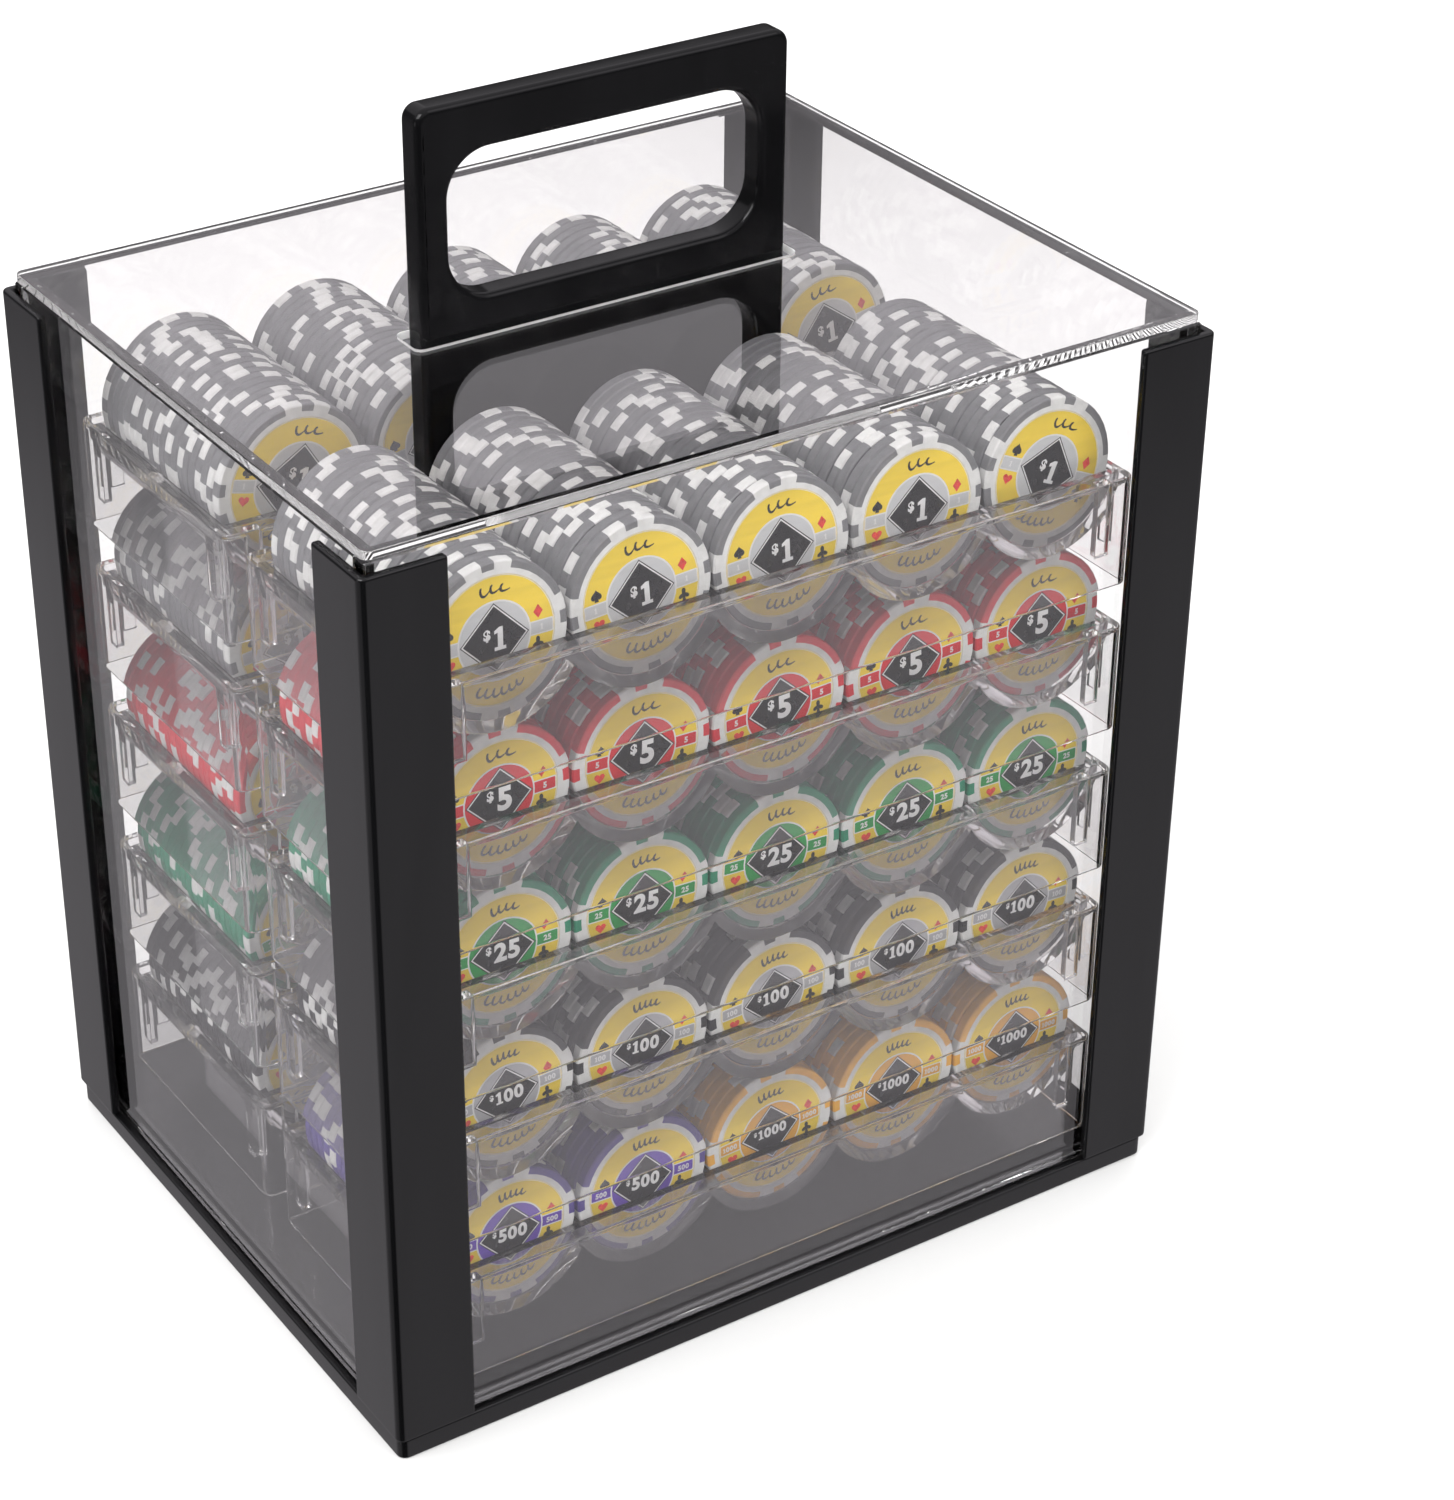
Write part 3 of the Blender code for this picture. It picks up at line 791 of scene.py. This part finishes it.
def rack_mesh():
    """One clear rack, its origin in the middle of its lower edge."""
    low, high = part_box("rack_front_1")
    hx, hy, lip = (high.x - low.x) * 500.0, (high.y - low.y) * 500.0, (high.z - low.z) * 1000.0
    chips_low, chips_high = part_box("chips_rear_1")
    pitch = ((chips_high.x - chips_low.x) * 1000.0 - 2.0 * CHIP_R) / (COLUMNS - 1)
    cradle_hy = hy - CRADLE_END
    rack = prism_object(round_rect(hx, hy, RACK_R, 8), 0.0, lip)
    hollow = round_rect(hx - RACK_SKIN, hy - RACK_SKIN, RACK_R - RACK_SKIN, 6)
    combine(rack, prism_object(hollow, -1.0, lip - RACK_SKIN), "DIFFERENCE")
    shell = shell_outline(hx, lip, pitch)
    combine(rack, prism_object(shell, -cradle_hy - RACK_SKIN, cradle_hy + RACK_SKIN, "Y"), "UNION")
    for sx in (-1, 1):
        for sy in (-1, 1):
            on_side = round_rect(0.5 * (RIB_D + BURY), 0.5 * RIB_W, 0.4, 3,
                                 sx * (hx - BURY - 0.5 * (RIB_D + BURY)), sy * (hy - RIB_IN))
            on_end = round_rect(0.5 * RIB_W, 0.5 * (RIB_D + BURY), 0.4, 3,
                                sx * (hx - RIB_IN), sy * (hy - BURY - 0.5 * (RIB_D + BURY)))
            for rib in (on_side, on_end):
                combine(rack, prism_object(rib, RIB_UP, lip - BURY), "UNION")
    for i in range(COLUMNS):
        cut = prism_object(cradle_outline(column_x(i, pitch), lip), -cradle_hy, cradle_hy, "Y")
        combine(rack, cut, "DIFFERENCE")
    clean(rack)
    round_edges(rack, 0.35, 2)
    return take_mesh(rack, "rack", moulding)


def make_racks():
    data = rack_mesh()
    for side in ("front", "rear"):
        for layer in range(1, LAYERS + 1):
            node = "rack_%s_%d" % (side, layer)
            low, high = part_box(node)
            at = ((low.x + high.x) / 2, (low.y + high.y) / 2, low.z)
            place_piece("tray_%s_%d" % (side, layer), data, at, "%s_%d" % (side, layer), "rack_clear", node)


# ---- case ------------------------------------------------------------------------------------
def make_board():
    low, high = (corner * FRAME_TO_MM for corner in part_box("handle_board"))
    outline = round_rect(high.x, 0.5 * (high.z - low.z), BOARD_R, 12, 0.0, 0.5 * (high.z + low.z))
    upper = [(x, z) for x, z in outline if z > 0.5 * (high.z + low.z)]
    board = prism_object(upper + [(-high.x, low.z), (high.x, low.z)], low.y, high.y, "Y")
    grip_z = 0.5 * (GRIP_Z[0] + GRIP_Z[1])
    grip = round_rect(GRIP_HX, GRIP_Z[1] - grip_z, GRIP_R, 16, 0.0, grip_z)
    combine(board, prism_object(grip, 2.0 * low.y, 2.0 * high.y, "Y"), "DIFFERENCE")
    round_edges(board, BOARD_BEVEL, 6)
    for x in SCREW_X:
        hole = prism_object(circle(SCREW_HOLE_R, 24, x), low.z - 1.0, low.z + SCREW_HOLE_L)
        combine(board, hole, "DIFFERENCE")
    clean(board)
    place_piece("grip_board", take_mesh(board, "grip_board", board_black), (0, 0, 0), "case",
                "black_plastic", "handle_board")


def make_posts():
    for end in ("front", "back"):
        for hand in ("left", "right"):
            node = "post_%s_%s" % (end, hand)
            low, high = (corner * FRAME_TO_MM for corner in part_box(node))
            sx = 1 if hand == "right" else -1
            sy = 1 if end == "back" else -1
            hx, hy = max(abs(low.x), abs(high.x)), max(abs(low.y), abs(high.y))
            leg = high.x - low.x
            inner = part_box("wall_front")[1].x * FRAME_TO_MM
            thick = hx - inner - GAP
            corner = [(hx - POST_R + POST_R * math.cos(a), hy - POST_R + POST_R * math.sin(a))
                      for a in (0.5 * math.pi * k / 8 for k in range(9))]
            outline = [(hx - thick, hy - leg), (hx, hy - leg)] + corner
            outline += [(hx - leg, hy), (hx - leg, hy - thick), (hx - thick, hy - thick)]
            outline = [(sx * x, sy * y) for x, y in outline]
            if sx * sy < 0:
                outline.reverse()
            post = prism_object(outline, low.z, high.z)
            round_edges(post, POST_BEVEL, 3)
            place_piece("corner_" + node, take_mesh(post, node, post_black), (0, 0, 0), "case",
                        "black_plastic", node)


def make_lid():
    low, high = (corner * FRAME_TO_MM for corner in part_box("lid"))
    lid = prism_object(round_rect(high.x, high.y, LID_R, 12), low.z, high.z)
    combine(lid, prism_object(round_rect(*SLOT, 8), low.z - 1.0, high.z + 1.0), "DIFFERENCE")
    round_edges(lid, LID_BEVEL, 2)
    clean(lid)
    data = take_mesh(lid, "lid_panel", acrylic_lid)
    data.materials.append(acrylic_sawn)
    slot_x, slot_y = (SLOT[0] + 0.5) * MM, (SLOT[1] + 0.5) * MM
    for face in data.polygons:
        if abs(face.normal.z) < 0.9 and abs(face.center.x) < slot_x and abs(face.center.y) < slot_y:
            face.material_index = 1
    place_piece("lid_panel", data, (0, 0, 0), "lid", "clear_acrylic", "lid")


def make_base():
    low, high = (corner * FRAME_TO_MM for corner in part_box("base_plate"))
    wall_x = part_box("wall_front")[1].x * FRAME_TO_MM
    wall_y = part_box("wall_back")[1].y * FRAME_TO_MM
    base = prism_object(round_rect(high.x, high.y, BASE_R, 10), low.z, LEDGE_Z)
    raised = round_rect(wall_x - WALL_T - GAP, wall_y - WALL_T - GAP, FLOOR_R, 6)
    combine(base, prism_object(raised, 0.5 * LEDGE_Z, high.z), "UNION")
    round_edges(base, BASE_BEVEL, 3)
    for x in SCREW_X:
        combine(base, prism_object(circle(SCREW_RECESS_R, 32, x), -1.0, SCREW_RECESS), "DIFFERENCE")
        combine(base, prism_object(circle(SCREW_HOLE_R, 24, x), -1.0, high.z + 1.0), "DIFFERENCE")
    clean(base)
    place_piece("base_tray", take_mesh(base, "base_tray", base_black), (0, 0, 0), "case",
                "black_plastic", "base_plate")


def finish_kept_nodes():
    """The CAD walls and screws have the right shape and only get their materials."""
    kept = {"wall_front": acrylic, "wall_back": acrylic, "wall_left": acrylic, "wall_right": acrylic}
    kept.update({"handle_screw_%d" % i: screw_steel for i in (1, 2, 3)})
    for node, material in kept.items():
        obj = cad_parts[node]
        obj.data.materials.clear()
        obj.data.materials.append(material)


# ---- studio ----------------------------------------------------------------------------------
def make_camera():
    camera = bpy.data.cameras.new("camera")
    camera.lens = CAMERA_LENS
    camera.sensor_width = 36.0
    camera.shift_x, camera.shift_y = CAMERA_SHIFT
    camera.clip_start, camera.clip_end = 0.05, 50.0
    obj = bpy.data.objects.new("camera", camera)
    bpy.context.scene.collection.objects.link(obj)
    obj.matrix_world = (
        Matrix.Translation(CAMERA_AT)
        @ Matrix.Rotation(math.radians(-CAMERA_YAW), 4, "Z")
        @ Matrix.Rotation(math.radians(90.0 + CAMERA_PITCH), 4, "X")
        @ Matrix.Rotation(math.radians(CAMERA_ROLL), 4, "Z")
    )
    bpy.context.scene.camera = obj


def math_node(tree, operation, *values):
    node = tree.nodes.new("ShaderNodeMath")
    node.operation = operation
    for socket, value in zip(node.inputs, values):
        if isinstance(value, float):
            socket.default_value = value
        else:
            tree.links.new(value, socket)
    return node.outputs["Value"]


def seen_by_reflection(tree):
    """Two factors, 1 or 0: for what the object mirrors, and for what it mirrors only a few times over.

    Both are 0 for what is seen directly or through it and for soft light.
    """
    path = tree.nodes.new("ShaderNodeLightPath")
    mirrored = math_node(tree, "GREATER_THAN", path.outputs["Glossy Depth"], 0.5)
    sharp = math_node(tree, "LESS_THAN", path.outputs["Diffuse Depth"], 0.5)
    mirrored = math_node(tree, "MULTIPLY", mirrored, sharp)
    few = math_node(tree, "LESS_THAN", path.outputs["Glossy Depth"], MOST_MIRRORED + 0.5)
    return mirrored, math_node(tree, "MULTIPLY", mirrored, few)


def soft_box(tree, direction, azimuth, elevation, radius, value):
    """A soft-edged round light in that part of the sky; angles in degrees, azimuth from +X to +Y."""
    a, e = math.radians(azimuth), math.radians(elevation)
    dot = tree.nodes.new("ShaderNodeVectorMath")
    dot.operation = "DOT_PRODUCT"
    tree.links.new(direction, dot.inputs[0])
    dot.inputs[1].default_value = (math.cos(e) * math.cos(a), math.cos(e) * math.sin(a), math.sin(e))
    span = tree.nodes.new("ShaderNodeMapRange")
    span.interpolation_type = "SMOOTHSTEP"
    span.inputs["From Min"].default_value = math.cos(math.radians(radius))
    span.inputs["From Max"].default_value = math.cos(math.radians(0.5 * radius))
    span.inputs["To Min"].default_value = 0.0
    span.inputs["To Max"].default_value = value
    tree.links.new(dot.outputs["Value"], span.inputs["Value"])
    return span.outputs["Result"]


def make_world():
    """A plain white room; the object mirrors a darker one with soft boxes in it."""
    world = bpy.data.worlds.new("studio")
    bpy.context.scene.world = world
    world.use_nodes = True
    tree = world.node_tree
    background = tree.nodes["Background"]
    direction = tree.nodes.new("ShaderNodeTexCoord").outputs["Generated"]
    split = tree.nodes.new("ShaderNodeSeparateXYZ")
    tree.links.new(direction, split.inputs["Vector"])
    height = split.outputs["Z"]
    span = tree.nodes.new("ShaderNodeMapRange")
    for socket, value in (("From Min", -0.1), ("From Max", 1.0), ("To Min", SKY_SIDE), ("To Max", SKY_TOP)):
        span.inputs[socket].default_value = value
    tree.links.new(height, span.inputs["Value"])
    ramp = tree.nodes.new("ShaderNodeValToRGB")
    while len(ramp.color_ramp.elements) < len(MIRRORED):
        ramp.color_ramp.elements.new(0.5)
    for element, (z, value) in zip(ramp.color_ramp.elements, MIRRORED):
        element.position = 0.5 + 0.5 * z
        element.color = (value, value, value, 1.0)
    tree.links.new(math_node(tree, "MULTIPLY_ADD", height, 0.5, 0.5), ramp.inputs["Fac"])
    mirrored = ramp.outputs["Color"]
    for box in SOFT_BOXES:
        mirrored = math_node(tree, "ADD", mirrored, soft_box(tree, direction, *box))
    mirrored = math_node(tree, "MAXIMUM", mirrored, MIRRORED_LEAST)
    by_reflection, few = seen_by_reflection(tree)
    share = math_node(tree, "MULTIPLY_ADD", few, 1.0 - LED_ALONG, LED_ALONG)
    mirrored = math_node(tree, "MULTIPLY", mirrored, share)
    blend = tree.nodes.new("ShaderNodeMix")
    tree.links.new(by_reflection, blend.inputs[0])
    tree.links.new(span.outputs["Result"], blend.inputs[2])
    tree.links.new(mirrored, blend.inputs[3])
    tree.links.new(blend.outputs[0], background.inputs["Strength"])
    tint = tree.nodes.new("ShaderNodeMixRGB")
    tree.links.new(by_reflection, tint.inputs["Fac"])
    tint.inputs["Color1"].default_value = SKY_TINT
    tint.inputs["Color2"].default_value = MIRRORED_TINT
    tree.links.new(tint.outputs["Color"], background.inputs["Color"])


def make_floor():
    shells = Shells()
    shells.prism(round_rect(9000.0, 9000.0, 100.0, 4), -20.0, 0.0, 0)
    finish = Finish("floor_white", FLOOR_COLOUR, 0.6)
    finish.mottle(finish.noise(3.0, 2.0), 0.01)
    tree = finish.mat.node_tree
    blend = tree.nodes.new("ShaderNodeMixShader")
    tree.links.new(seen_by_reflection(tree)[1], blend.inputs[0])
    tree.links.new(finish.shader.outputs["BSDF"], blend.inputs[1])
    tree.links.new(tree.nodes.new("ShaderNodeBsdfTransparent").outputs["BSDF"], blend.inputs[2])
    tree.links.new(blend.outputs["Shader"], tree.nodes["Material Output"].inputs["Surface"])
    floor = bpy.data.objects.new("floor", shells.mesh("floor", [finish.mat]))
    bpy.context.scene.collection.objects.link(floor)


def make_light():
    light = bpy.data.lights.new("key", "AREA")
    light.shape = "RECTANGLE"
    light.size, light.size_y = KEY_SIZE
    light.energy = KEY_POWER
    obj = bpy.data.objects.new("key", light)
    bpy.context.scene.collection.objects.link(obj)
    obj.location = KEY_AT
    aim = Matrix.Translation(KEY_AIM).translation - obj.location
    obj.rotation_euler = aim.to_track_quat("-Z", "Y").to_euler()


def set_light_paths():
    """Enough bounces for the clear walls and racks that lie behind one another."""
    cycles = bpy.context.scene.cycles
    cycles.max_bounces = 72
    cycles.transmission_bounces = 64
    cycles.glossy_bounces = 64
    cycles.diffuse_bounces = 3
    bpy.context.scene.view_settings.view_transform = "Standard"


make_camera()
make_world()
make_floor()
make_light()
set_light_paths()
finish_kept_nodes()
make_base()
make_posts()
make_board()
make_lid()
make_racks()
make_stacks()
